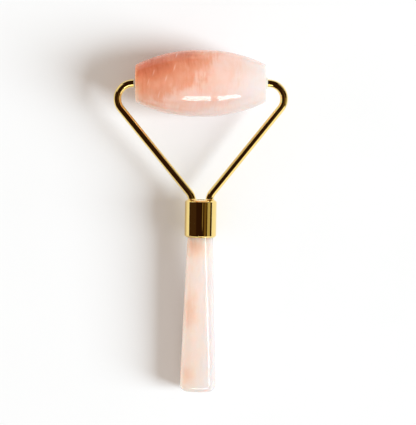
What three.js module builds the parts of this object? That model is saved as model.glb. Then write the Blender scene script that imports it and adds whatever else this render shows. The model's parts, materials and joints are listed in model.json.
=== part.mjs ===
// A single-ended face roller: a barrel of rose quartz that turns on the inturned ends of a gilt wire
// yoke. The yoke's legs are brazed into a plug in a short ferrule, and the ferrule is bonded to a
// tapered rose quartz handle.
//
// Millimetres, +Z up. The roller lies on a table, Z = 0, touching it with the barrel's belly and the
// handle's butt. X runs along the barrel's axis, and +Y points from the handle towards the barrel. The
// origin is on the table, under the middle of the box that the roller fills.

import * as THREE from "three";

// The barrel: a narrow level band round its belly, an arc on each side of it, and flat ends with
// rounded edges.
const BARREL = {
  length: 42,
  bandLength: 2.4,
  bellyRadius: 10.75,
  endRadius: 6,
  edgeRadius: 0.5,
  boreRadius: 2.6,
  seatRadius: 3.1, // counterbore for the eyelet's flange
  seatDepth: 0.5,
};

// The bearing in each end of the bore: a brass eyelet bonded into the stone, and a nylon sleeve in it.
const BEARING = {
  depth: 8,
  bondThickness: 0.2,
  eyeletWall: 0.45,
  flangeRadius: 3.0,
  flangeThickness: 0.42,
  collarRadius: 1.8,
  collarThickness: 0.6,
  runningClearance: 0.08,
  joint: 0.05, // gap left between pieces that are fixed together
};

// The wire yoke: each arm is an axle pin, a loop, a straight slanting run, a small bend and a leg.
const YOKE = {
  wireRadius: 1.25,
  halfSpan: 26.9, // from the middle to the wire's centre line at the widest point of a loop
  loopRadius: 5,
  slant: 39.1, // degrees between the straight run and the handle's line
  footRadius: 4.5,
  legSpacing: 5.6,
  legLength: 3.8, // below the small bend
  pinLength: 6, // inside the barrel
};

const FERRULE = {
  radius: 5.15,
  length: 12,
  wall: 0.75,
  chamfer: 0.5,
  top: 37.7, // from the barrel's axis to the ferrule's upper rim
};

const PLUG = {
  recess: 0.4, // below the ferrule's upper rim
  length: 4.6,
  holeClearance: 0.12,
};

// The handle: round in the ferrule, and flattened and squarer towards its butt.
const HANDLE = {
  tenonRadius: 3.9,
  tenonLength: 6,
  neckRadius: 4.2,
  neckInset: 0.5, // how far the full-width neck goes into the ferrule's mouth
  length: 50.2, // below the ferrule
  buttRadius: 5.9,
  buttThickness: 0.84, // of its width
  squareness: 2.8, // exponent of the butt's superellipse, where 2 is an ellipse
  edgeRadius: 2.3,
  lean: 1.0, // degrees that the grip is set off the yoke's own line
};

const SIDES = { barrel: 48, ferrule: 48, bearing: 24, wire: 12, handle: 32 };
const STEPS = { barrel: 20, wire: 60, handle: 12, edge: 3 };

// Finishes
const roseQuartz = new THREE.MeshStandardMaterial({ color: 0xf2b8a0, roughness: 0.12, metalness: 0 });
const paleQuartz = new THREE.MeshStandardMaterial({ color: 0xf7dccd, roughness: 0.15, metalness: 0 });
const giltBrass = new THREE.MeshStandardMaterial({ color: 0xe0b04a, roughness: 0.08, metalness: 1 });
const nylon = new THREE.MeshStandardMaterial({ color: 0xf3efe2, roughness: 0.4, metalness: 0 });
const adhesive = new THREE.MeshStandardMaterial({ color: 0xe9dfc4, roughness: 0.3, metalness: 0 });

const radians = THREE.MathUtils.degToRad;

/** A point of a lathe profile: its distance from the axis, and its place along it. */
const at = (radius, along) => new THREE.Vector2(radius, along);

/** The points of an arc about a centre, from one angle to another in degrees. */
function arc(centre, radius, from, to, steps) {
  return Array.from({ length: steps + 1 }, (_, i) => {
    const angle = radians(from + ((to - from) * i) / steps);
    return at(centre.x + radius * Math.cos(angle), centre.y + radius * Math.sin(angle));
  });
}

/** Turns a profile, given counterclockwise with the axis on its left, about Y, with a flat facing down. */
function turned(profile, sides) {
  return new THREE.LatheGeometry(profile, sides, Math.PI / sides);
}

/** The same for a profile round a bore, which closes on itself. */
function turnedRing(profile, sides) {
  return turned([...profile, profile[0]], sides);
}

/** The same ring about the X axis, with the distance along the axis measured towards +X. */
function turnedRingAlongX(profile, sides) {
  return turnedRing(profile, sides).rotateZ(-Math.PI / 2);
}

/** A regular polygon, as the section of a round piece. */
function circle(radius, sides, centreX = 0, ShapeKind = THREE.Shape) {
  const points = Array.from({ length: sides }, (_, i) => {
    const angle = (2 * Math.PI * i) / sides;
    return at(centreX + radius * Math.cos(angle), radius * Math.sin(angle));
  });
  return new ShapeKind(points);
}

function mesh(name, geometry, material) {
  const made = new THREE.Mesh(geometry, material);
  made.name = name;
  return made;
}

// ---------------------------------------------------------------------------------------------------
// The barrel and its bearings, about the X axis, centred on the origin

/** Half of the barrel's outline, from the edge of the band round its belly to its flat end. */
function barrelFlank() {
  const halfLength = BARREL.length / 2;
  const halfBand = BARREL.bandLength / 2;
  const sagitta = BARREL.bellyRadius - BARREL.endRadius;
  const flankRadius = ((halfLength - halfBand) ** 2 + sagitta ** 2) / (2 * sagitta);
  const centre = at(BARREL.bellyRadius - flankRadius, halfBand);
  // The edge's arc touches the flank from inside and the flat end.
  const edgeAlong = halfLength - BARREL.edgeRadius;
  const edgeSine = (edgeAlong - halfBand) / (flankRadius - BARREL.edgeRadius);
  const edgeAngle = THREE.MathUtils.radToDeg(Math.asin(edgeSine));
  const edgeCentre = at(
    centre.x + (flankRadius - BARREL.edgeRadius) * Math.cos(radians(edgeAngle)),
    edgeAlong,
  );
  return [
    ...arc(centre, flankRadius, 0, edgeAngle, STEPS.barrel / 2),
    ...arc(edgeCentre, BARREL.edgeRadius, edgeAngle, 90, STEPS.edge).slice(1),
  ];
}

function barrelGeometry() {
  const halfLength = BARREL.length / 2;
  const flank = barrelFlank();
  const otherFlank = flank
    .slice()
    .reverse()
    .map((p) => at(p.x, -p.y));
  const seat = [
    at(BARREL.seatRadius, halfLength),
    at(BARREL.seatRadius, halfLength - BARREL.seatDepth),
    at(BARREL.boreRadius, halfLength - BARREL.seatDepth),
  ];
  const otherSeat = seat
    .slice()
    .reverse()
    .map((p) => at(p.x, -p.y));
  // The middles of the facets, not their edges, are at the stated radii, so the barrel lies on a facet.
  const outward = 1 / Math.cos(Math.PI / SIDES.barrel);
  const profile = [...otherFlank, ...flank, ...seat, ...otherSeat].map((p) => at(p.x * outward, p.y));
  return turnedRingAlongX(profile, SIDES.barrel);
}

/** The three pieces of the bearing in one end of the barrel; side is -1 on the left and 1 on the right. */
function bearing(label, side) {
  const face = BARREL.length / 2;
  const inner = face - BEARING.depth;
  const seatFloor = face - BARREL.seatDepth;
  const bondOuter = BARREL.boreRadius - BEARING.joint;
  const bondInner = bondOuter - BEARING.bondThickness;
  const eyeletOuter = bondInner - BEARING.joint;
  const eyeletInner = eyeletOuter - BEARING.eyeletWall;
  const sleeveOuter = eyeletInner - BEARING.joint;
  const sleeveInner = YOKE.wireRadius + BEARING.runningClearance;
  const flangeBack = seatFloor + BEARING.joint;
  const flangeFace = flangeBack + BEARING.flangeThickness;
  const collarBack = flangeFace + BEARING.joint;
  const collarFace = collarBack + BEARING.collarThickness;

  const bond = [
    at(bondInner, inner),
    at(bondOuter, inner),
    at(bondOuter, seatFloor),
    at(bondInner, seatFloor),
  ];
  const eyelet = [
    at(eyeletInner, inner),
    at(eyeletOuter, inner),
    at(eyeletOuter, flangeBack),
    at(BEARING.flangeRadius, flangeBack),
    at(BEARING.flangeRadius, flangeFace),
    at(eyeletInner, flangeFace),
  ];
  const sleeve = [
    at(sleeveInner, inner),
    at(sleeveOuter, inner),
    at(sleeveOuter, collarBack),
    at(BEARING.collarRadius, collarBack),
    at(BEARING.collarRadius, collarFace),
    at(sleeveInner, collarFace),
  ];
  const pieces = [
    [`${label}_bush_bond`, bond, adhesive],
    [`${label}_bush`, eyelet, giltBrass],
    [`${label}_sleeve`, sleeve, nylon],
  ];
  return pieces.map(([name, profile, material]) => {
    const made = mesh(name, turnedRingAlongX(profile, SIDES.bearing), material);
    made.rotation.z = side > 0 ? 0 : Math.PI;
    return made;
  });
}

function barrel() {
  const group = new THREE.Group();
  group.add(mesh("roller_stone", barrelGeometry(), roseQuartz));
  group.add(...bearing("left", -1), ...bearing("right", 1));
  return group;
}

// ---------------------------------------------------------------------------------------------------
// The wire yoke, in the XY plane, with the barrel's axis along X through the origin

/** An arc in the XY plane, as a curve. */
class ArcCurve extends THREE.Curve {
  constructor(centre, radius, from, to) {
    super();
    Object.assign(this, { centre, radius, from, to });
  }
  getPoint(t, target = new THREE.Vector3()) {
    const angle = radians(this.from + (this.to - this.from) * t);
    return target.set(
      this.centre.x + this.radius * Math.cos(angle),
      this.centre.y + this.radius * Math.sin(angle),
      0,
    );
  }
}

/** The centre line of the right arm, from the axle pin's tip round the loop and down to the leg's foot. */
function armPath() {
  const { halfSpan, loopRadius, slant, footRadius, legSpacing, legLength, pinLength } = YOKE;
  const down = new THREE.Vector3(-Math.sin(radians(slant)), -Math.cos(radians(slant)), 0);
  const loopCentre = at(halfSpan - loopRadius, -loopRadius);
  const loop = new ArcCurve(loopCentre, loopRadius, 90, -slant);
  const loopEnd = loop.getPoint(1);
  const footStartX = legSpacing / 2 + footRadius * (1 - Math.cos(radians(slant)));
  const runLength = (loopEnd.x - footStartX) / -down.x;
  const runEnd = loopEnd.clone().addScaledVector(down, runLength);
  const footCentre = at(legSpacing / 2 + footRadius, runEnd.y - footRadius * Math.sin(radians(slant)));
  const foot = new ArcCurve(footCentre, footRadius, 180 - slant, 180);
  const legTop = foot.getPoint(1);
  const legEnd = legTop.clone().setY(legTop.y - legLength);
  const pinTip = new THREE.Vector3(BARREL.length / 2 - pinLength, 0, 0);

  const path = new THREE.CurvePath();
  path.add(new THREE.LineCurve3(pinTip, loop.getPoint(0)));
  path.add(loop);
  path.add(new THREE.LineCurve3(loopEnd, runEnd));
  path.add(foot);
  path.add(new THREE.LineCurve3(legTop, legEnd));
  return path;
}

function arm(label, side) {
  const geometry = new THREE.ExtrudeGeometry(circle(YOKE.wireRadius, SIDES.wire), {
    extrudePath: armPath(),
    steps: STEPS.wire,
    bevelEnabled: false,
  });
  const made = mesh(`${label}_arm`, geometry, giltBrass);
  made.rotation.y = side > 0 ? 0 : Math.PI;
  return made;
}

// ---------------------------------------------------------------------------------------------------
// The grip: plug, ferrule, bond and handle, about the Y axis

const ferruleBottom = -FERRULE.top - FERRULE.length;
const ferruleBore = FERRULE.radius - FERRULE.wall;
const plugTop = -FERRULE.top - PLUG.recess;
const plugBottom = plugTop - PLUG.length;
const shoulder = ferruleBottom + HANDLE.neckInset;

function ferruleGeometry() {
  const { radius, chamfer, top } = FERRULE;
  return turnedRing(
    [
      at(ferruleBore, ferruleBottom),
      at(radius - chamfer, ferruleBottom),
      at(radius, ferruleBottom + chamfer),
      at(radius, -top - chamfer),
      at(radius - chamfer, -top),
      at(ferruleBore, -top),
    ],
    SIDES.ferrule,
  );
}

function plugGeometry() {
  const section = circle(ferruleBore - BEARING.joint, SIDES.ferrule);
  for (const side of [-1, 1]) {
    const holeRadius = YOKE.wireRadius + PLUG.holeClearance;
    section.holes.push(circle(holeRadius, SIDES.wire, (side * YOKE.legSpacing) / 2, THREE.Path));
  }
  const geometry = new THREE.ExtrudeGeometry(section, { depth: PLUG.length, bevelEnabled: false });
  return geometry.rotateX(-Math.PI / 2).translate(0, plugBottom, 0);
}

/** A cup of adhesive, with its floor against the plug and its wall round the handle's tenon. */
function handleBondGeometry() {
  const outer = ferruleBore - BEARING.joint;
  const inner = HANDLE.tenonRadius + BEARING.joint;
  const floor = shoulder + HANDLE.tenonLength + BEARING.joint;
  const profile = [
    at(0, floor),
    at(inner, floor),
    at(inner, shoulder + BEARING.joint),
    at(outer, shoulder + BEARING.joint),
    at(outer, plugBottom - BEARING.joint),
    at(0, plugBottom - BEARING.joint),
  ];
  return turned(profile, SIDES.ferrule);
}

/** Flattens and squares the handle, from nothing at the ferrule to its full amount at the butt. */
function squared(geometry) {
  const position = geometry.getAttribute("position");
  const point = new THREE.Vector3();
  for (let i = 0; i < position.count; i++) {
    point.fromBufferAttribute(position, i);
    const share = THREE.MathUtils.smoothstep(ferruleBottom - point.y, 0, HANDLE.length);
    const radius = Math.hypot(point.x, point.z);
    if (share === 0 || radius === 0) continue;
    const power = THREE.MathUtils.lerp(2, HANDLE.squareness, share);
    const spread = (Math.abs(point.x) / radius) ** power + (Math.abs(point.z) / radius) ** power;
    const widen = spread ** (-1 / power);
    point.x *= widen;
    point.z *= widen * THREE.MathUtils.lerp(1, HANDLE.buttThickness, share);
    position.setXYZ(i, point.x, point.y, point.z);
  }
  geometry.computeVertexNormals();
  return geometry;
}

function handleGeometry() {
  const { tenonRadius, tenonLength, neckRadius, length, buttRadius, edgeRadius } = HANDLE;
  const butt = ferruleBottom - length;
  const edgeCentre = at(buttRadius - edgeRadius, butt + edgeRadius);
  const flare = Array.from({ length: STEPS.handle }, (_, i) => {
    const share = i / STEPS.handle;
    return at(
      THREE.MathUtils.lerp(buttRadius, neckRadius, share),
      THREE.MathUtils.lerp(edgeCentre.y, ferruleBottom, share),
    );
  });
  const profile = [
    at(0, butt),
    ...arc(edgeCentre, edgeRadius, -90, 0, STEPS.edge).slice(0, -1),
    ...flare,
    at(neckRadius, shoulder),
    at(tenonRadius, shoulder),
    at(tenonRadius, shoulder + tenonLength),
    at(0, shoulder + tenonLength),
  ];
  return squared(turned(profile, SIDES.handle));
}

/** The grip, turned by the handle's lean about the middle of its plug. */
function grip() {
  const plugMiddle = (plugTop + plugBottom) / 2;
  const pieces = new THREE.Group();
  pieces.position.y = -plugMiddle;
  pieces.add(
    mesh("yoke_plug", plugGeometry(), giltBrass),
    mesh("ferrule", ferruleGeometry(), giltBrass),
    mesh("handle_bond", handleBondGeometry(), adhesive),
    mesh("handle_stone", handleGeometry(), paleQuartz),
  );
  const group = new THREE.Group();
  group.position.y = plugMiddle;
  group.rotation.z = -radians(HANDLE.lean);
  group.add(pieces);
  return group;
}

// ---------------------------------------------------------------------------------------------------
// The whole roller, lying on the table

/** The angle that a holder drops about the barrel's axis before the first point of it meets the table. */
function restAngle(holder) {
  holder.updateWorldMatrix(true, true);
  const handle = holder.getObjectByName("handle_stone");
  const position = handle.geometry.getAttribute("position");
  const point = new THREE.Vector3();
  let angle = Infinity;
  for (let i = 0; i < position.count; i++) {
    point.fromBufferAttribute(position, i).applyMatrix4(handle.matrixWorld);
    const reach = Math.hypot(point.y, point.z);
    const below = Math.atan2(-point.z, -point.y);
    angle = Math.min(angle, Math.asin(BARREL.bellyRadius / reach) - below);
  }
  return angle;
}

const holder = new THREE.Group();
holder.add(arm("left", -1), arm("right", 1), grip());
holder.rotation.x = restAngle(holder);

const roller = new THREE.Group();
roller.add(barrel(), holder);

const box = new THREE.Box3().setFromObject(roller, true);
const middle = box.getCenter(new THREE.Vector3());
roller.position.set(-middle.x, -middle.y, -box.min.z);

export default roller;
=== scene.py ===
import json
import math

import bmesh
import bpy
from mathutils import Matrix, Vector, noise


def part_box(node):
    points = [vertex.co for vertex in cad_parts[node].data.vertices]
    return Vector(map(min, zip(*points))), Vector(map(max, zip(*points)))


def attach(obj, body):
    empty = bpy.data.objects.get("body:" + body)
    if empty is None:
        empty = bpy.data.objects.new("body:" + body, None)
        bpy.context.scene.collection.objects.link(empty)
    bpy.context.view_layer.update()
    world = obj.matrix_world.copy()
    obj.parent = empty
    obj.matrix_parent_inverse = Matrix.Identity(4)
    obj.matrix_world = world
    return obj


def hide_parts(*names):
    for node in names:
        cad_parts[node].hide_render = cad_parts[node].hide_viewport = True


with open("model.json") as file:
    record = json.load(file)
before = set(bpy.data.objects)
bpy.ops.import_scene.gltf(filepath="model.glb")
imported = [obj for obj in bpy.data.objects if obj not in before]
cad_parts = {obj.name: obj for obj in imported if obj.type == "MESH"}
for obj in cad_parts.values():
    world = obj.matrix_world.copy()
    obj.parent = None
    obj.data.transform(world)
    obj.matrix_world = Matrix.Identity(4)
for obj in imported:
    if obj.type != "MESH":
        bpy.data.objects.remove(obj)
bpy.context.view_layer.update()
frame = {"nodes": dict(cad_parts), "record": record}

MM = 0.001

# -------------------------------------------------------------------------------------------------
# Dimensions, in millimetres. They repeat the CAD model's, and add the small roundings, brazing and
# glue line that it leaves out.
# -------------------------------------------------------------------------------------------------

BARREL_HALF = 21.0
BARREL_BAND_HALF = 1.2
BARREL_BELLY = 10.75
BARREL_END = 6.0
BARREL_EDGE = 0.5
SEAT_EDGE = 0.12
BORE_RADIUS = 2.6
SEAT_RADIUS = 3.1
SEAT_DEPTH = 0.5

BEARING_DEPTH = 8.0
EYELET_BORE = 1.85
EYELET_OUTER = 2.3
EYELET_FLANGE = 3.0
EYELET_FLANGE_THICKNESS = 0.42
SLEEVE_BORE = 1.33
SLEEVE_OUTER = 1.8
COLLAR_THICKNESS = 0.6
JOINT_GAP = 0.05

WIRE_RADIUS = 1.25
LOOP_RADIUS = 5.0
WIRE_SLANT = math.radians(39.1)
FOOT_RADIUS = 4.5
LEG_SPACING = 5.6
LEG_LENGTH = 3.8
PIN_LENGTH = 6.0

FERRULE_TOP = -37.7
FERRULE_BOTTOM = -49.7
FERRULE_RADIUS = 5.15
FERRULE_BORE = 4.4
FERRULE_CHAMFER = 0.5

PLUG_TOP = FERRULE_TOP - 0.4
PLUG_BOTTOM = PLUG_TOP - 4.6
PLUG_RADIUS = 4.35
PLUG_MIDDLE = (PLUG_TOP + PLUG_BOTTOM) / 2
BRAZE_LEVEL = 0.3
BRAZE_CLIMB = 0.55
BRAZE_REACH = 0.35

GLUE_INNER = 4.22
GLUE_OUTER = 4.38
GLUE_TOP = FERRULE_BOTTOM + 0.42

HANDLE_LENGTH = 50.2
HANDLE_NECK = 4.2
HANDLE_NECK_INSET = 0.5
HANDLE_BUTT = 5.9
HANDLE_BUTT_THICKNESS = 0.84
HANDLE_SQUARENESS = 2.8
HANDLE_EDGE = 2.3
TENON_RADIUS = 3.9
TENON_LENGTH = 6.0

# -------------------------------------------------------------------------------------------------
# Where the CAD model puts things
# -------------------------------------------------------------------------------------------------

barrel_low, barrel_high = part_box("roller_stone")
barrel_centre = (barrel_low + barrel_high) / 2
butt_normal = Vector(frame["record"]["mounts"][0]["axis"])
rest_tilt = math.atan2(-butt_normal.z, -butt_normal.y)
handle_lean = math.asin(-butt_normal.x)
wire_half_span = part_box("right_arm")[1].x / MM - WIRE_RADIUS

barrel_place = Matrix.Translation(barrel_centre)
yoke_place = barrel_place @ Matrix.Rotation(rest_tilt, 4, "X")
to_plug = Matrix.Translation((0, PLUG_MIDDLE * MM, 0))
grip_place = yoke_place @ to_plug @ Matrix.Rotation(-handle_lean, 4, "Z") @ to_plug.inverted()

# -------------------------------------------------------------------------------------------------
# Mesh helpers. Points are in millimetres in a piece's own frame.
# -------------------------------------------------------------------------------------------------

SHARP_ANGLE = math.radians(50)


def piece(name, points, faces, place, material, body, nodes):
    """A smooth-shaded piece that stands for CAD nodes and rides on their body."""
    mesh = bpy.data.meshes.new(name)
    mesh.from_pydata([place @ (Vector(p) * MM) for p in points], [], faces)
    bm = bmesh.new()
    bm.from_mesh(mesh)
    bmesh.ops.remove_doubles(bm, verts=bm.verts, dist=MM * 1e-4)
    bmesh.ops.recalc_face_normals(bm, faces=bm.faces)
    for face in bm.faces:
        face.smooth = True
    for edge in bm.edges:
        edge.smooth = len(edge.link_faces) < 2 or edge.calc_face_angle() < SHARP_ANGLE
    bm.to_mesh(mesh)
    bm.free()
    mesh.materials.append(material)
    made = bpy.data.objects.new(name, mesh)
    bpy.context.scene.collection.objects.link(made)
    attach(made, body)
    if nodes:
        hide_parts(*nodes)
    return made


def arc(centre, radius, start, end, steps):
    """Points of an arc in a profile, from one angle to another in degrees."""
    angles = [math.radians(start + (end - start) * i / steps) for i in range(steps + 1)]
    return [(centre[0] + radius * math.cos(a), centre[1] + radius * math.sin(a)) for a in angles]


def filleted(corners, steps=5):
    """A closed profile whose corners (x, y, radius) are rounded."""
    outline = []
    count = len(corners)
    for i, (x, y, radius) in enumerate(corners):
        corner = Vector((x, y))
        if radius == 0:
            outline.append((x, y))
            continue
        before = (Vector(corners[i - 1][:2]) - corner).normalized()
        after = (Vector(corners[(i + 1) % count][:2]) - corner).normalized()
        half = before.angle(after) / 2
        centre = corner + (before + after).normalized() * (radius / math.sin(half))
        first = corner + before * (radius / math.tan(half)) - centre
        last = corner + after * (radius / math.tan(half)) - centre
        sweep = first.angle_signed(last)
        for step in range(steps + 1):
            turned = Matrix.Rotation(-sweep * step / steps, 2) @ first
            outline.append(tuple(centre + turned))
    return outline


def lathe(profile, sides, along_x=False, closed=True):
    """Points and faces of a profile (radius, along) turned about Y, or about X."""
    points, faces = [], []
    for radius, along in profile:
        for i in range(sides):
            angle = 2 * math.pi * i / sides
            across, up = radius * math.cos(angle), radius * math.sin(angle)
            points.append((along, across, up) if along_x else (across, along, up))
    rows = len(profile)
    for row in range(rows if closed else rows - 1):
        after = (row + 1) % rows
        for i in range(sides):
            j = (i + 1) % sides
            faces.append((row * sides + i, row * sides + j, after * sides + j, after * sides + i))
    if not closed:
        faces.append(tuple(range(sides)))
        faces.append(tuple((rows - 1) * sides + i for i in range(sides)))
    return points, faces


def swept(path, radius, sides):
    """Points and faces of a round bar along points of a path in the XY plane."""
    points, faces = [], []
    for i, here in enumerate(path):
        ahead = path[min(i + 1, len(path) - 1)] - path[max(i - 1, 0)]
        normal = Vector((-ahead.y, ahead.x)).normalized()
        for k in range(sides):
            angle = 2 * math.pi * k / sides
            flat = here + normal * (radius * math.cos(angle))
            points.append((flat.x, flat.y, radius * math.sin(angle)))
    for i in range(len(path) - 1):
        for k in range(sides):
            j = (k + 1) % sides
            faces.append((i * sides + k, i * sides + j, (i + 1) * sides + j, (i + 1) * sides + k))
    faces.append(tuple(range(sides)))
    faces.append(tuple((len(path) - 1) * sides + k for k in range(sides)))
    return points, faces


def hand_worked(points, axis, depth, wavelength, seed, core=0.0):
    """Presses a turned surface in by up to depth, as unevenly as hand polishing leaves it.

    What is nearer to the axis than core stays as it is.
    """
    worked = []
    for point in points:
        p = Vector(point)
        across = p.copy()
        across[axis] = 0
        level = noise.noise(p / wavelength + Vector((seed, 0, 0))) * 0.5 + 0.5
        pressed = depth * level if across.length > core else 0
        worked.append(p - across.normalized() * pressed)
    return worked


# -------------------------------------------------------------------------------------------------
# Material helpers
# -------------------------------------------------------------------------------------------------


class Shader:
    """A material's node tree, built a node at a time.

    Its position is in millimetres, in the frame that place gives.
    """

    def __init__(self, name, place):
        self.material = bpy.data.materials.new(name)
        self.material.use_nodes = True
        self.tree = self.material.node_tree
        self.surface = self.tree.nodes["Principled BSDF"]
        inward = place.inverted()
        inputs = {
            "Vector": self.add("ShaderNodeTexCoord").outputs["Object"],
            "Location": inward.translation / MM,
            "Rotation": inward.to_euler(),
            "Scale": Vector((1, 1, 1)) / MM,
        }
        self.position = self.add("ShaderNodeMapping", inputs).outputs[0]

    def add(self, kind, inputs=None, **properties):
        node = self.tree.nodes.new(kind)
        for name, value in properties.items():
            setattr(node, name, value)
        self.feed(node, inputs or {})
        return node

    def feed(self, node, inputs):
        for key, value in inputs.items():
            socket = node.inputs[key]
            if isinstance(value, bpy.types.NodeSocket):
                self.tree.links.new(value, socket)
            else:
                socket.default_value = value

    def moved(self, vector, by):
        return self.add("ShaderNodeVectorMath", {0: vector, 1: by}, operation="ADD").outputs[0]

    def scaled(self, vector, factor):
        factors = (factor, factor, factor) if isinstance(factor, (int, float)) else factor
        inputs = {0: vector, 1: factors}
        return self.add("ShaderNodeVectorMath", inputs, operation="MULTIPLY").outputs[0]

    def distance(self, vector, place, stretch):
        """Length from a place, with each axis stretched."""
        stretched = self.scaled(self.moved(vector, [-p for p in place]), stretch)
        return self.add("ShaderNodeVectorMath", {0: stretched}, operation="LENGTH").outputs["Value"]

    def math(self, operation, a, b):
        return self.add("ShaderNodeMath", {0: a, 1: b}, operation=operation).outputs[0]

    def noise(self, vector, scale, detail=3.0, roughness=0.5, output="Fac"):
        inputs = {"Vector": vector, "Scale": scale, "Detail": detail, "Roughness": roughness}
        return self.add("ShaderNodeTexNoise", inputs).outputs[output]

    def remap(self, value, low, high, to_low=0.0, to_high=1.0):
        inputs = {
            "Value": value,
            "From Min": low,
            "From Max": high,
            "To Min": to_low,
            "To Max": to_high,
        }
        return self.add("ShaderNodeMapRange", inputs, clamp=True).outputs[0]

    def ramp(self, value, stops):
        node = self.add("ShaderNodeValToRGB", {"Fac": value})
        elements = node.color_ramp.elements
        while len(elements) < len(stops):
            elements.new(1.0)
        for element, (place, colour) in zip(elements, stops):
            element.position = place
            element.color = (*colour, 1.0)
        return node.outputs["Color"]

    def mix(self, factor, a, b):
        node = self.add("ShaderNodeMix", data_type="RGBA")
        for index, value in ((0, factor), (6, a), (7, b)):
            if isinstance(value, bpy.types.NodeSocket):
                self.tree.links.new(value, node.inputs[index])
            elif index == 0:
                node.inputs[index].default_value = value
            else:
                node.inputs[index].default_value = (*value, 1.0)
        return node.outputs[2]

    def bump(self, height, depth, normal=None):
        inputs = {"Height": height, "Distance": depth * MM, "Strength": 1.0}
        if normal is not None:
            inputs["Normal"] = normal
        return self.add("ShaderNodeBump", inputs).outputs["Normal"]


# Nearly all of a noise's values lie between these two
NOISE_SPAN = (0.3, 0.7)

CRACK_COLOUR = (0.95, 0.82, 0.74)
CRACK_LEAN = math.radians(16)
CLOUD_DEPTH = 0.07
WISP_DEPTH = 0.04
SMEAR_DEPTH = 0.006
PIT_DEPTH = 0.008


def quartz(name, place, tone_of, stops, seed, cracks):
    """Polished rose quartz: clouded translucent stone with fine fibres and healed cracks.

    tone_of gives the tone that stops turn into colour. Seed picks the clouds, and cracks is how
    strongly the healed cracks show.
    """
    s = Shader(name, place)
    inside = s.moved(s.position, (seed, seed * 0.7, -seed))
    drift = s.scaled(s.noise(inside, 0.11, detail=2.0, output="Color"), 5.0)
    drifted = s.moved(inside, drift)
    lean = s.scaled(s.noise(inside, 0.07, detail=1.0, output="Color"), (3.0, 0.0, 0.0))
    leaning = s.moved(inside, lean)

    clouds = s.noise(drifted, 0.16, detail=5.0, roughness=0.55)
    wisps = s.noise(s.scaled(drifted, (1.0, 0.4, 0.45)), 0.5, detail=4.0, roughness=0.6)
    fibres = s.noise(s.scaled(leaning, (1.5, 0.22, 0.22)), 1.0, detail=2.0)
    fibre_depth = s.remap(s.noise(inside, 0.13, detail=1.0), 0.38, 0.62, 0.015, 0.06)
    tone = s.math("ADD", tone_of(s), s.remap(clouds, *NOISE_SPAN, -CLOUD_DEPTH, CLOUD_DEPTH))
    tone = s.math("ADD", tone, s.remap(wisps, *NOISE_SPAN, -WISP_DEPTH, WISP_DEPTH))
    fibre_tone = s.math("MULTIPLY", s.remap(fibres, *NOISE_SPAN, -1.0, 1.0), fibre_depth)
    tone = s.math("ADD", tone, fibre_tone)
    colour = s.ramp(tone, stops)

    # Short pale strokes where cracks have healed, leaning across the piece
    slanted = s.add("ShaderNodeVectorRotate", {"Vector": inside, "Angle": CRACK_LEAN}).outputs[0]
    drawn_out = s.scaled(slanted, (1.7, 0.3, 0.15))
    cells = s.add("ShaderNodeTexVoronoi", {"Vector": drawn_out, "Scale": 0.42})
    crack = s.remap(cells.outputs["Distance"], 0.04, 0.22, 1.0, 0.0)
    cracked = s.remap(s.noise(inside, 0.2, detail=1.0), 0.44, 0.52)
    paleness = s.math("MULTIPLY", s.math("MULTIPLY", crack, cracked), cracks)
    colour = s.mix(paleness, colour, CRACK_COLOUR)

    smear = s.noise(inside, 0.9)
    pits = s.remap(s.noise(inside, 9.0, detail=2.0), 0.7, 0.8)
    inputs = {
        "Base Color": colour,
        "Roughness": s.remap(smear, *NOISE_SPAN, 0.03, 0.08),
        "IOR": 1.54,
        "Subsurface Weight": 1.0,
        "Subsurface Radius": (1.0, 0.7, 0.6),
        "Subsurface Scale": 12.0 * MM,
        "Subsurface Anisotropy": 0.6,
        "Specular IOR Level": 0.35,
        "Normal": s.bump(pits, PIT_DEPTH, normal=s.bump(smear, SMEAR_DEPTH)),
    }
    s.feed(s.surface, inputs)
    s.surface.subsurface_method = "RANDOM_WALK"
    return s.material


def blotched(s, position, tone, blotches):
    """Takes each blotch's depth off a tone, in full at its centre and fading out past its reach."""
    for centre, reach, depth in blotches:
        away = s.distance(position, centre, [1 / r for r in reach])
        tone = s.math("SUBTRACT", tone, s.remap(away, 0.2, 1.3, depth, 0.0))
    return tone


# The barrel's tone runs from 0 at its deepest place to its palest at the far end. This is partly
# the stone's own colour and partly painted light: the end the key light falls on is painted paler,
# and the end away from it deeper.
BARREL_DEEPEST = (-16.5, 6.9, 8.0)
BARREL_STRETCH = (0.62, 1.0, 0.5)
BARREL_FADE = 24.0
BARREL_PALEST = 0.95

# Each blotch: its centre, its reach along X, Y and Z, and how much it takes off the tone
BARREL_BLOTCHES = (
    ((-5.0, 8.8, 6.0), (5.0, 2.6, 5.0), 0.2),
    ((-6.5, 2.0, 10.0), (5.5, 3.6, 5.0), -0.1),
    ((-4.5, -4.0, 9.5), (4.5, 3.4, 5.0), -0.14),
    ((-16.0, -7.0, 6.0), (5.0, 2.4, 5.0), 0.08),
    ((-12.0, -1.0, 10.0), (4.5, 3.0, 4.0), -0.09),
    ((5.0, 3.5, 9.0), (4.0, 4.5, 5.0), -0.1),
    ((8.0, -8.0, 6.5), (16.0, 3.0, 6.0), 0.12),
    ((-6.0, -4.0, -9.5), (7.0, 4.0, 5.0), 0.2),
    ((10.0, 4.0, -9.0), (5.0, 5.0, 5.0), 0.15),
)
HANDLE_BLOTCHES = (
    ((-1.4, -52.6, 2.5), (5.5, 4.2, 5.5), 0.55),
    ((-2.2, -73.5, 3.0), (2.6, 7.5, 2.6), 0.48),
    ((-2.8, -94.6, 3.0), (3.0, 3.2, 3.0), 0.27),
    ((2.0, -62.0, -4.0), (3.5, 6.0, 3.5), 0.40),
    ((0.0, -84.0, -5.0), (4.5, 5.0, 4.5), 0.36),
)
HANDLE_TONE = 0.62
HANDLE_TONE_PER_MM = 0.045
RAGGEDNESS = 1.5


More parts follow.
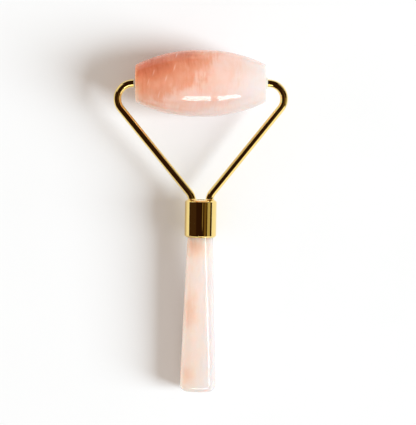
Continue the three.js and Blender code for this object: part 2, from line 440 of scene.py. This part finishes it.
def barrel_tone_and_painted_light(s):
    """Deep salmon round a place near one end, fading to almost white at the far end: partly the
    stone's own colour, partly painted shade toward the end away from the key light and painted
    light toward the lit end.
    """
    away = s.distance(s.position, BARREL_DEEPEST, BARREL_STRETCH)
    tone = s.remap(away, 0.0, BARREL_FADE, 0.0, BARREL_PALEST)
    return blotched(s, s.position, tone, BARREL_BLOTCHES)


def handle_tone(s):
    """Pale all along, with a few ragged peach blotches."""
    axes = s.add("ShaderNodeSeparateXYZ", {0: s.position})
    tone = s.math("ADD", s.math("MULTIPLY", axes.outputs["X"], HANDLE_TONE_PER_MM), HANDLE_TONE)
    ragged = s.scaled(s.noise(s.position, 0.35, output="Color"), 2 * RAGGEDNESS)
    position = s.moved(s.position, s.moved(ragged, (-RAGGEDNESS, -RAGGEDNESS, -RAGGEDNESS)))
    return blotched(s, position, tone, HANDLE_BLOTCHES)


GOLD = (0.96, 0.73, 0.27)
WORN_GOLD = (0.93, 0.68, 0.25)


def gold(name, place, roughness, grain, grain_depth):
    """Bright gold plate with slight wear and faint polishing lines.

    Grain is how fine the lines are along each axis, per millimetre.
    """
    s = Shader(name, place)
    lines = s.noise(s.scaled(s.position, grain), 1.0, detail=4.0, roughness=0.6)
    haze = s.noise(s.position, 0.5, detail=4.0)
    specks = s.noise(s.position, 6.0, detail=2.0)
    worn = s.remap(haze, 0.45, 0.75, 0.0, 0.35)
    hazy = s.remap(haze, *NOISE_SPAN, roughness * 0.7, roughness * 1.4)
    speckled = s.remap(specks, 0.7, 0.8, 0.0, 0.08)
    inputs = {
        "Base Color": s.mix(worn, GOLD, WORN_GOLD),
        "Metallic": 1.0,
        "Roughness": s.math("ADD", hazy, speckled),
        "Normal": s.bump(lines, grain_depth),
    }
    s.feed(s.surface, inputs)
    return s.material


def moulded(name, colour, roughness, subsurface):
    """A small plastic or resin piece, with a fine moulded texture."""
    s = Shader(name, barrel_place)
    flow = s.noise(s.position, 1.2)
    grain = s.noise(s.position, 14.0, detail=2.0)
    darker = tuple(c * 0.93 for c in colour)
    inputs = {
        "Base Color": s.mix(s.remap(flow, 0.35, 0.65), colour, darker),
        "Roughness": s.remap(grain, *NOISE_SPAN, roughness * 0.85, roughness * 1.15),
        "Subsurface Weight": subsurface,
        "Subsurface Radius": (1.0, 0.8, 0.6),
        "Subsurface Scale": 0.5 * MM,
        "Normal": s.bump(grain, 0.01),
    }
    s.feed(s.surface, inputs)
    return s.material


barrel_quartz = quartz(
    "rose_quartz_barrel",
    barrel_place,
    barrel_tone_and_painted_light,
    [
        (0.0, (0.55, 0.17, 0.09)),
        (0.28, (0.74, 0.32, 0.20)),
        (0.45, (0.82, 0.44, 0.32)),
        (0.55, (0.90, 0.60, 0.51)),
        (0.75, (0.94, 0.71, 0.67)),
        (1.0, (0.95, 0.78, 0.77)),
    ],
    seed=3.0,
    cracks=0.35,
)
handle_quartz = quartz(
    "rose_quartz_handle",
    grip_place,
    handle_tone,
    [
        (0.0, (0.78, 0.52, 0.40)),
        (0.35, (0.82, 0.68, 0.60)),
        (0.6, (0.81, 0.73, 0.69)),
        (0.8, (0.74, 0.70, 0.70)),
        (1.0, (0.70, 0.68, 0.70)),
    ],
    seed=17.0,
    cracks=0.2,
)
wire_gold = gold(
    "gold_wire", yoke_place, roughness=0.07, grain=(0.6, 0.6, 0.6), grain_depth=0.004
)
ferrule_gold = gold(
    "gold_ferrule", grip_place, roughness=0.055, grain=(0.25, 5.0, 0.25), grain_depth=0.003
)
braze_gold = gold(
    "gold_braze", grip_place, roughness=0.2, grain=(1.2, 1.2, 1.2), grain_depth=0.03
)
eyelet_gold = gold(
    "gold_eyelet", barrel_place, roughness=0.1, grain=(0.6, 3.0, 3.0), grain_depth=0.003
)
nylon = moulded("nylon_sleeve", (0.86, 0.82, 0.72), roughness=0.35, subsurface=0.4)
resin = moulded("epoxy_resin", (0.78, 0.66, 0.44), roughness=0.12, subsurface=0.6)

# -------------------------------------------------------------------------------------------------
# The barrel and its bearings
# -------------------------------------------------------------------------------------------------


def barrel_profile():
    """The barrel's outline round its bore, with rounded edges and a seat for each eyelet."""
    run = BARREL_HALF - BARREL_BAND_HALF
    sagitta = BARREL_BELLY - BARREL_END
    flank = (run**2 + sagitta**2) / (2 * sagitta)
    centre = (BARREL_BELLY - flank, BARREL_BAND_HALF)
    edge_along = BARREL_HALF - BARREL_EDGE
    edge_angle = math.asin((edge_along - BARREL_BAND_HALF) / (flank - BARREL_EDGE))
    edge_centre = (centre[0] + (flank - BARREL_EDGE) * math.cos(edge_angle), edge_along)
    turn = math.degrees(edge_angle)
    side = arc(centre, flank, 0, turn, 40) + arc(edge_centre, BARREL_EDGE, turn, 90, 8)[1:]
    seat = arc((SEAT_RADIUS + SEAT_EDGE, BARREL_HALF - SEAT_EDGE), SEAT_EDGE, 90, 180, 5)
    seat += [(SEAT_RADIUS, BARREL_HALF - SEAT_DEPTH), (BORE_RADIUS, BARREL_HALF - SEAT_DEPTH)]
    right = side + seat
    left = [(radius, -along) for radius, along in reversed(right)]
    return left + right


points, faces = lathe(barrel_profile(), sides=192, along_x=True)
points = hand_worked(
    points, axis=0, depth=0.035, wavelength=7.0, seed=5.0, core=SEAT_RADIUS + 1
)
barrel = piece(
    "barrel_stone",
    points,
    faces,
    barrel_place,
    barrel_quartz,
    "roller",
    ["roller_stone"],
)
gold_pieces = []

for label, side in (("left", -1), ("right", 1)):
    place = barrel_place @ Matrix.Rotation(0 if side > 0 else math.pi, 4, "Z")
    inner = BARREL_HALF - BEARING_DEPTH
    flange_back = BARREL_HALF - SEAT_DEPTH + JOINT_GAP
    flange_face = flange_back + EYELET_FLANGE_THICKNESS
    collar_back = flange_face + JOINT_GAP
    collar_face = collar_back + COLLAR_THICKNESS
    sleeve_outer = EYELET_BORE - JOINT_GAP
    # Corners: radius, place along the bore and rounding
    eyelet = [
        (EYELET_BORE, inner, 0),
        (EYELET_OUTER, inner, 0),
        (EYELET_OUTER, flange_back, 0),
        (EYELET_FLANGE, flange_back, 0.08),
        (EYELET_FLANGE, flange_face, 0.18),
        (EYELET_BORE, flange_face, 0.1),
    ]
    sleeve = [
        (SLEEVE_BORE, inner, 0),
        (sleeve_outer, inner, 0),
        (sleeve_outer, collar_back, 0),
        (SLEEVE_OUTER, collar_back, 0),
        (SLEEVE_OUTER, collar_face, 0.14),
        (SLEEVE_BORE, collar_face, 0.08),
    ]
    name, stands_for = f"{label}_eyelet", [f"{label}_bush"]
    points, faces = lathe(filleted(eyelet), sides=96, along_x=True)
    gold_pieces.append(
        piece(name, points, faces, place, eyelet_gold, "roller", stands_for)
    )
    name, stands_for = f"{label}_nylon_sleeve", [f"{label}_sleeve"]
    points, faces = lathe(filleted(sleeve), sides=96, along_x=True)
    piece(name, points, faces, place, nylon, "roller", stands_for)

# -------------------------------------------------------------------------------------------------
# The wire yoke
# -------------------------------------------------------------------------------------------------


def arm_path():
    """The right arm's centre line, from the pin's tip round the loop and down to the leg's foot."""
    down = Vector((-math.sin(WIRE_SLANT), -math.cos(WIRE_SLANT)))
    slant = math.degrees(WIRE_SLANT)
    loop_centre = (wire_half_span - LOOP_RADIUS, -LOOP_RADIUS)
    loop = [Vector(p) for p in arc(loop_centre, LOOP_RADIUS, 90, -slant, 72)]
    foot_start = LEG_SPACING / 2 + FOOT_RADIUS * (1 - math.cos(WIRE_SLANT))
    run_end = loop[-1] + down * ((loop[-1].x - foot_start) / -down.x)
    foot_centre = (LEG_SPACING / 2 + FOOT_RADIUS, run_end.y - FOOT_RADIUS * math.sin(WIRE_SLANT))
    foot = [Vector(p) for p in arc(foot_centre, FOOT_RADIUS, 180 - slant, 180, 24)]
    pin_tip = Vector((BARREL_HALF - PIN_LENGTH, 0))
    pin = [pin_tip.lerp(loop[0], i / 8) for i in range(8)]
    run = [loop[-1].lerp(run_end, i / 40) for i in range(1, 40)]
    leg_end = foot[-1] - Vector((0, LEG_LENGTH))
    leg = [foot[-1].lerp(leg_end, i / 6) for i in range(1, 7)]
    return pin + loop + run + foot + leg


for label, side in (("left", -1), ("right", 1)):
    place = yoke_place @ Matrix.Rotation(0 if side > 0 else math.pi, 4, "Y")
    name, stands_for = f"{label}_wire", [f"{label}_arm"]
    points, faces = swept(arm_path(), WIRE_RADIUS, sides=40)
    gold_pieces.append(
        piece(name, points, faces, place, wire_gold, "holder", stands_for)
    )

# -------------------------------------------------------------------------------------------------
# Ferrule, plug with its brazing, and glue
# -------------------------------------------------------------------------------------------------

# Corners: radius, height and rounding
chamfered = FERRULE_RADIUS - FERRULE_CHAMFER
ferrule = [
    (FERRULE_BORE, FERRULE_BOTTOM, 0.08),
    (chamfered, FERRULE_BOTTOM, 0.12),
    (FERRULE_RADIUS, FERRULE_BOTTOM + FERRULE_CHAMFER, 0.25),
    (FERRULE_RADIUS, FERRULE_TOP - FERRULE_CHAMFER, 0.25),
    (chamfered, FERRULE_TOP, 0.12),
    (FERRULE_BORE, FERRULE_TOP, 0.08),
]
points, faces = lathe(filleted(ferrule), sides=160)
name, stands_for = "ferrule_tube", ["ferrule"]
gold_pieces.append(
    piece(name, points, faces, grip_place, ferrule_gold, "holder", stands_for)
)


def braze_top(x, z):
    """The height of the brazing: a pool in the ferrule's mouth that climbs each leg of the yoke."""
    top = PLUG_TOP + BRAZE_LEVEL
    for leg in (-1, 1):
        gap = max(0.0, math.hypot(x - leg * LEG_SPACING / 2, z) - WIRE_RADIUS)
        top += BRAZE_CLIMB * math.exp(-gap / BRAZE_REACH)
    return top


def brazed_plug(rings, sides):
    """Points and faces of the plug, with the brazing for its top."""
    angles = [2 * math.pi * i / sides for i in range(sides)]
    spokes = [(math.cos(angle), math.sin(angle)) for angle in angles]
    points = [(0, braze_top(0, 0), 0)]
    for ring in range(1, rings + 1):
        radius = PLUG_RADIUS * ring / rings
        points += [(radius * x, braze_top(radius * x, radius * z), radius * z) for x, z in spokes]
    points += [(PLUG_RADIUS * x, PLUG_BOTTOM, PLUG_RADIUS * z) for x, z in spokes]
    faces = [(0, 1 + (i + 1) % sides, 1 + i) for i in range(sides)]
    for ring in range(rings):
        a, b = 1 + ring * sides, 1 + (ring + 1) * sides
        for i in range(sides):
            j = (i + 1) % sides
            faces.append((a + i, a + j, b + j, b + i))
    faces.append(tuple(1 + rings * sides + i for i in range(sides)))
    return points, faces


points, faces = brazed_plug(rings=36, sides=120)
name, stands_for = "brazed_plug", ["yoke_plug"]
gold_pieces.append(
    piece(name, points, faces, grip_place, braze_gold, "holder", stands_for)
)

glue = [
    (GLUE_INNER, GLUE_TOP),
    (GLUE_INNER, FERRULE_BOTTOM - 0.03),
    ((GLUE_INNER + GLUE_OUTER) / 2, FERRULE_BOTTOM + 0.07),
    (GLUE_OUTER, FERRULE_BOTTOM + 0.1),
    (GLUE_OUTER, GLUE_TOP),
]
points, faces = lathe(glue, sides=120)
piece("handle_glue_line", points, faces, grip_place, resin, "holder", [])

# -------------------------------------------------------------------------------------------------
# The handle
# -------------------------------------------------------------------------------------------------


def squared(x, z, share):
    """Flattens and squares a round section, by a share from none to all."""
    radius = math.hypot(x, z)
    if share <= 0 or radius == 0:
        return x, z
    power = 2 + (HANDLE_SQUARENESS - 2) * share
    spread = (abs(x) / radius) ** power + (abs(z) / radius) ** power
    widen = spread ** (-1 / power)
    return x * widen, z * widen * (1 + (HANDLE_BUTT_THICKNESS - 1) * share)


butt = FERRULE_BOTTOM - HANDLE_LENGTH
edge_centre = (HANDLE_BUTT - HANDLE_EDGE, butt + HANDLE_EDGE)
butt_rings = 6
profile = [(edge_centre[0] * i / butt_rings, butt) for i in range(1, butt_rings)]
profile += arc(edge_centre, HANDLE_EDGE, -90, 0, 16)[:-1]
flare_steps = 90
for i in range(flare_steps + 1):
    share = i / flare_steps
    radius = HANDLE_BUTT + (HANDLE_NECK - HANDLE_BUTT) * share
    profile.append((radius, edge_centre[1] + (FERRULE_BOTTOM - edge_centre[1]) * share))
shoulder = FERRULE_BOTTOM + HANDLE_NECK_INSET
profile += [(HANDLE_NECK, shoulder), (TENON_RADIUS, shoulder)]
profile += [(TENON_RADIUS, shoulder + TENON_LENGTH)]
points, faces = lathe(profile, sides=160, closed=False)
shaped = []
for x, y, z in points:
    share = min(1.0, max(0.0, (FERRULE_BOTTOM - y) / HANDLE_LENGTH))
    x, z = squared(x, z, share * share * (3 - 2 * share))
    shaped.append((x, y, z))
shaped = hand_worked(shaped, axis=1, depth=0.05, wavelength=9.0, seed=2.0)
handle = piece(
    "handle_quartz",
    shaped,
    faces,
    grip_place,
    handle_quartz,
    "holder",
    ["handle_stone"],
)

for name in ("handle_bond", "left_bush_bond", "right_bush_bond"):
    frame["nodes"][name].material_slots[0].material = resin

# -------------------------------------------------------------------------------------------------
# Floor, light and camera
# -------------------------------------------------------------------------------------------------

FLOOR_HALF = 4.0

floor_shader = Shader("pale_floor", Matrix())
mottle = floor_shader.noise(floor_shader.position, 0.02, detail=2.0)
floor_inputs = {
    "Base Color": floor_shader.mix(mottle, (0.93, 0.93, 0.93), (0.9, 0.9, 0.9)),
    "Roughness": 0.85,
    "Specular IOR Level": 0.1,
}
floor_shader.feed(floor_shader.surface, floor_inputs)
floor_mesh = bpy.data.meshes.new("floor")
corners = [(x * FLOOR_HALF, y * FLOOR_HALF, 0) for x, y in ((-1, -1), (1, -1), (1, 1), (-1, 1))]
floor_mesh.from_pydata(corners, [], [(0, 1, 2, 3)])
floor_mesh.materials.append(floor_shader.material)
floor = bpy.data.objects.new("floor", floor_mesh)
bpy.context.scene.collection.objects.link(floor)


def window(name, azimuth, elevation, distance, width, height, radiance, colour):
    """A rectangular soft light that faces the roller.

    Azimuth is counterclockwise from +X. Distance, width and height are in metres.
    """
    a, e = math.radians(azimuth), math.radians(elevation)
    direction = Vector((math.cos(e) * math.cos(a), math.cos(e) * math.sin(a), math.sin(e)))
    light = bpy.data.lights.new(name, "AREA")
    light.shape = "RECTANGLE"
    light.size = width
    light.size_y = height
    light.energy = radiance * math.pi * width * height
    light.color = colour
    made = bpy.data.objects.new(name, light)
    bpy.context.scene.collection.objects.link(made)
    made.location = direction * distance
    made.rotation_euler = direction.to_track_quat("Z", "Y").to_euler()
    return made


def lit_only(light, name, pieces, link_state="INCLUDE"):
    """Lets a light reach only some pieces, or all but them."""
    receivers = bpy.data.collections.new(name)
    for made in pieces:
        receivers.objects.link(made)
    for entry in receivers.collection_objects:
        entry.light_linking.link_state = link_state
    light.light_linking.receiver_collection = receivers


stone_pieces = [barrel, handle]

# Each light: azimuth, elevation, distance, width, height, radiance, colour
KEY_WINDOW = (-13, 30.3, 8.0, 3.6, 4.4, 17.2, (0.82, 0.925, 1.0))
STONE_LIGHTS = {
    "stone_key": (-5, 45, 0.6, 0.3, 0.3, 8.3, (0.88, 0.96, 1.0)),
    "stone_fill": (172, 20, 1.0, 0.8, 0.5, 3.4, (0.96, 0.98, 1.0)),
    "stone_back": (75, 35, 1.0, 0.8, 0.4, 1.0, (1.0, 0.85, 0.76)),
}
FRONT_WINDOWS = {
    "front_window_left": (-93.3, 34.8, 1.0, 0.28, 0.31, 10.5, (1.0, 0.98, 1.0)),
    "front_window_right": (-66.8, 31.8, 1.0, 0.32, 0.31, 10.5, (1.0, 0.98, 1.0)),
}
SIDE_WINDOW = (-8, 40, 1.0, 0.9, 0.13, 18.0, (1.0, 1.0, 1.0))
GOLD_CARDS = {
    "card_lower_right": (-41, 18, 1.0, 0.62, 0.62, 1.25, (1.0, 0.97, 0.9)),
    "card_lower_left": (-141, 4, 1.0, 0.5, 0.2, 0.6, (1.0, 0.97, 0.9)),
    "card_upper_left": (141, 18, 1.0, 0.5, 0.62, 0.75, (1.0, 0.97, 0.9)),
    "card_upper_right": (41, 16, 1.0, 0.5, 0.6, 0.3, (1.0, 0.95, 0.9)),
    "card_front": (-80, 35.3, 1.0, 0.72, 0.34, 3.6, (1.0, 0.97, 0.82)),
    "card_left": (180, 34, 1.0, 0.5, 0.9, 0.022, (1.0, 0.6, 0.3)),
    "card_right": (-6, 55, 1.0, 0.4, 0.3, 0.11, (1.0, 0.65, 0.15)),
    "strip_right": (-6, 28, 1.0, 0.3, 0.40, 0.45, (1.0, 0.9, 0.5)),
    "strip_overhead": (-6, 75, 1.0, 0.3, 0.1, 0.2, (1.0, 0.75, 0.35)),
}


def glint(name, setting, pieces):
    """A window that only shows in the gloss of some pieces."""
    light = window(name, *setting)
    light.visible_diffuse = False
    lit_only(light, name, pieces)


key = window("key_window", *KEY_WINDOW)
key.visible_glossy = False
lit_only(key, "all_but_stone", stone_pieces, "EXCLUDE")
for name, setting in STONE_LIGHTS.items():
    light = window(name, *setting)
    light.visible_glossy = False
    lit_only(light, name, stone_pieces)
for name, setting in FRONT_WINDOWS.items():
    glint(name, setting, stone_pieces)
glint("side_window", SIDE_WINDOW, [handle])
for name, setting in GOLD_CARDS.items():
    lit_only(window(name, *setting), name, gold_pieces)

FILL_COLOUR = (1.0, 0.89, 0.8)
FILL_STRENGTH = 0.57
REFLECTED_COLOUR = (0.024, 0.009, 0.004)
BACKDROP_COLOUR = (0.95, 0.95, 0.95)

world = bpy.data.worlds.new("studio")
world.use_nodes = True
bpy.context.scene.world = world
tree = world.node_tree
path = tree.nodes.new("ShaderNodeLightPath")
fill = tree.nodes["Background"]
fill.inputs["Color"].default_value = (*FILL_COLOUR, 1.0)
fill.inputs["Strength"].default_value = FILL_STRENGTH


def world_seen_by(rays, colour, otherwise):
    """Shows one colour of surroundings to one kind of ray, and leaves the rest as they were."""
    seen = tree.nodes.new("ShaderNodeBackground")
    seen.inputs["Color"].default_value = (*colour, 1.0)
    chooser = tree.nodes.new("ShaderNodeMixShader")
    tree.links.new(path.outputs[rays], chooser.inputs[0])
    tree.links.new(otherwise, chooser.inputs[1])
    tree.links.new(seen.outputs[0], chooser.inputs[2])
    return chooser.outputs[0]


dark_in_reflections = world_seen_by("Is Glossy Ray", REFLECTED_COLOUR, fill.outputs[0])
pale_to_camera = world_seen_by("Is Camera Ray", BACKDROP_COLOUR, dark_in_reflections)
tree.links.new(pale_to_camera, tree.nodes["World Output"].inputs["Surface"])

CAMERA_FROM_BARREL = Vector((0.00235, -0.04167, 0.6))
VIEW_HEIGHT = 0.1371

camera_data = bpy.data.cameras.new("camera")
camera_data.sensor_fit = "VERTICAL"
camera_data.sensor_height = 24
camera_data.lens = camera_data.sensor_height * CAMERA_FROM_BARREL.z / VIEW_HEIGHT
camera = bpy.data.objects.new("camera", camera_data)
bpy.context.scene.collection.objects.link(camera)
camera.location = barrel_centre + CAMERA_FROM_BARREL
bpy.context.scene.camera = camera

scene = bpy.context.scene
scene.view_settings.view_transform = "Standard"
scene.cycles.use_denoising = True
